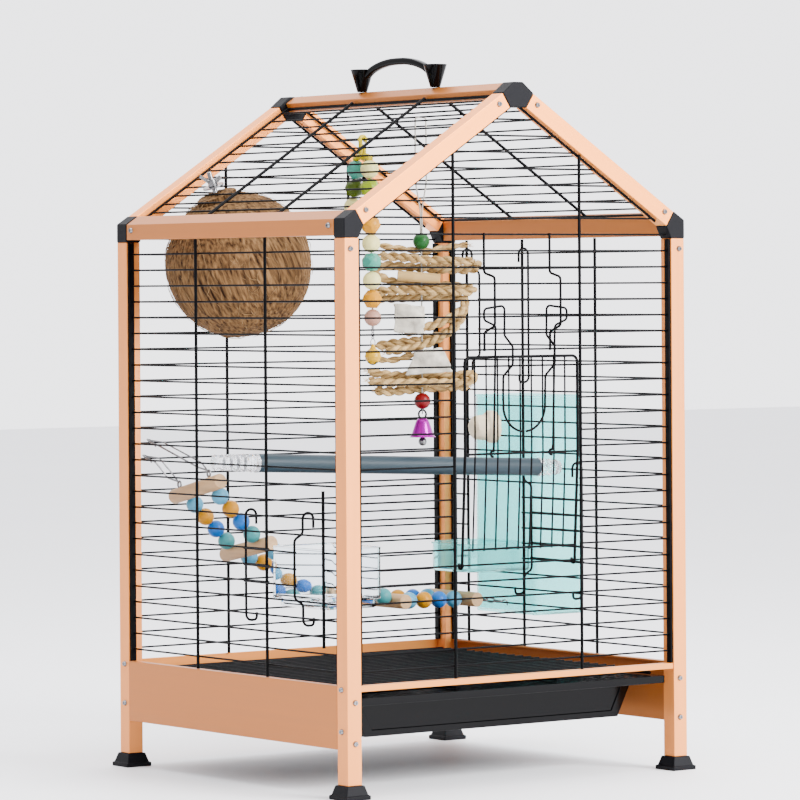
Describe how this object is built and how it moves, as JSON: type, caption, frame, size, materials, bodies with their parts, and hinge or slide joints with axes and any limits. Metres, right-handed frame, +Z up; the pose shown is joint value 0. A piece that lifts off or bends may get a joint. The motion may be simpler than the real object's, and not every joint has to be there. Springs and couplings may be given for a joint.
{
  "type": "bird cage on stand",
  "caption": "Gable-roofed wire bird cage on four feet, with a drop-down front door, sliding feeder flaps, slide-out tray and grate, carry handle, perch and hanging toys.",
  "frame": {"origin": "middle of the whole object's footprint, on the floor", "axes": "+Z up, -Y towards the front gable with the door, +X towards the outside feeder"},
  "size_m": [0.4898, 0.4082, 0.6896],
  "materials": {
    "frame_metal": "satin rose-gold anodised",
    "black_plastic": "matte",
    "wire_black": "satin powder coat",
    "tray_black": "gloss",
    "screw_chrome": "bright",
    "steel": "satin",
    "perch_grey": "satin",
    "clear_plastic": "clear",
    "mint_plastic": "translucent",
    "mineral": "matte mineral",
    "coconut": "fibrous",
    "bead_colours": "painted in several colours",
    "bell_yellow": "gloss",
    "yellow_plastic": "moulded",
    "loofah": "fibrous",
    "bell_magenta": "gloss",
    "seagrass": "twisted fibre",
    "bare_wood": "bare"
  },
  "bodies": {
    "cage": {"post_front_left": "frame_metal", "foot_front_left": "black_plastic", "corner_block_front_left": "black_plastic", "post_front_right": "frame_metal", "foot_front_right": "black_plastic", "corner_block_front_right": "black_plastic", "post_rear_left": "frame_metal", "foot_rear_left": "black_plastic", "corner_block_rear_left": "black_plastic", "post_rear_right": "frame_metal", "foot_rear_right": "black_plastic", "corner_block_rear_right": "black_plastic", "ridge_block_front": "black_plastic", "rafter_front_left": "frame_metal", "rafter_front_right": "frame_metal", "ridge_block_rear": "black_plastic", "rafter_rear_left": "frame_metal", "rafter_rear_right": "frame_metal", "eave_rail_left": "frame_metal", "side_panel_left": "frame_metal", "eave_rail_right": "frame_metal", "side_panel_right": "frame_metal", "ridge_beam": "frame_metal", "front_rail": "frame_metal", "back_panel": "frame_metal", "frame_screws": "screw_chrome", "front_grille": "wire_black", "back_grille": "wire_black", "left_grille": "wire_black", "right_grille": "wire_black", "roof_grille_left": "wire_black", "roof_grille_right": "wire_black", "latch_keeper_rods": "wire_black", "feeder_flap_right_low": "wire_black", "handle": "tray_black", "perch_tube": "perch_grey", "perch_cap_left": "clear_plastic", "perch_cap_right": "clear_plastic", "mineral_ball": "mineral", "coconut_nest": "coconut", "nest_bolt": "steel", "nest_wing_nut": "steel", "ladder_dowels": "bare_wood", "ladder_beads": "bead_colours", "ladder_hooks": "steel"},
    "tray": {"tray": "tray_black"},
    "grate": {"floor_grate": "wire_black"},
    "door": {"front_door": "wire_black"},
    "latch_left": {"latch_arm_left": "wire_black"},
    "latch_right": {"latch_arm_right": "wire_black"},
    "flap_left": {"feeder_flap_left": "wire_black"},
    "flap_right_high": {"feeder_flap_right_high": "wire_black"},
    "feeder_box": {"feeder_box": "mint_plastic"},
    "cup": {"feeder_cup": "clear_plastic"},
    "bead_toy": {"bead_toy_hook": "yellow_plastic", "bead_toy_beads": "bead_colours", "bead_toy_bells": "bell_yellow"},
    "rope_toy": {"rope_toy_ropes": "seagrass", "rope_toy_beads": "bead_colours", "rope_toy_bell": "bell_magenta"}
  },
  "joints": [
    {"name": "tray_slide", "type": "slide", "parent": "cage", "child": "tray", "axis": [0, -1, 0], "range_m": [0, 0.33]},
    {"name": "grate_slide", "type": "slide", "parent": "cage", "child": "grate", "axis": [0, -1, 0], "range_m": [0, 0.33]},
    {"name": "door_hinge", "type": "hinge", "parent": "cage", "child": "door", "pos_m": [-0.0321, -0.17605, 0.2075], "axis": [1, 0, 0], "range_deg": [0, 110]},
    {"name": "latch_left_squeeze", "type": "hinge", "parent": "door", "child": "latch_left", "pos_m": [-0.0671, -0.18395, 0.3108], "axis": [0, 1, 0], "range_deg": [0, 5.6], "stiffness_Nm_per_rad": 1},
    {"name": "latch_right_squeeze", "type": "hinge", "parent": "door", "child": "latch_right", "pos_m": [0.0029, -0.18395, 0.3108], "axis": [0, 1, 0], "range_deg": [-5.6, 0], "stiffness_Nm_per_rad": 1},
    {"name": "flap_left_slide", "type": "slide", "parent": "cage", "child": "flap_left", "axis": [0, 1, 0], "range_m": [-0.024, 0.06]},
    {"name": "flap_right_high_slide", "type": "slide", "parent": "cage", "child": "flap_right_high", "axis": [0, -1, 0], "range_m": [0, 0.08]},
    {"name": "feeder_box_pull", "type": "slide", "parent": "cage", "child": "feeder_box", "axis": [1, 0, 0], "range_m": [0, 0.09]},
    {"name": "cup_lift", "type": "slide", "parent": "cage", "child": "cup", "axis": [0, 0, 1], "range_m": [0, 0.012]},
    {"name": "bead_toy_swing", "type": "hinge", "parent": "cage", "child": "bead_toy", "pos_m": [-0.10137, -0.02895, 0.60772], "axis": [0, 1, 0], "range_deg": [-12, 12]},
    {"name": "rope_toy_swing", "type": "hinge", "parent": "cage", "child": "rope_toy", "pos_m": [-0.00166, 0.01155, 0.63275], "axis": [0, 1, 0], "range_deg": [-10, 10]}
  ],
  "couplings": [
    {"joint": "latch_right_squeeze", "follows": "latch_left_squeeze", "ratio": -1}
  ]
}
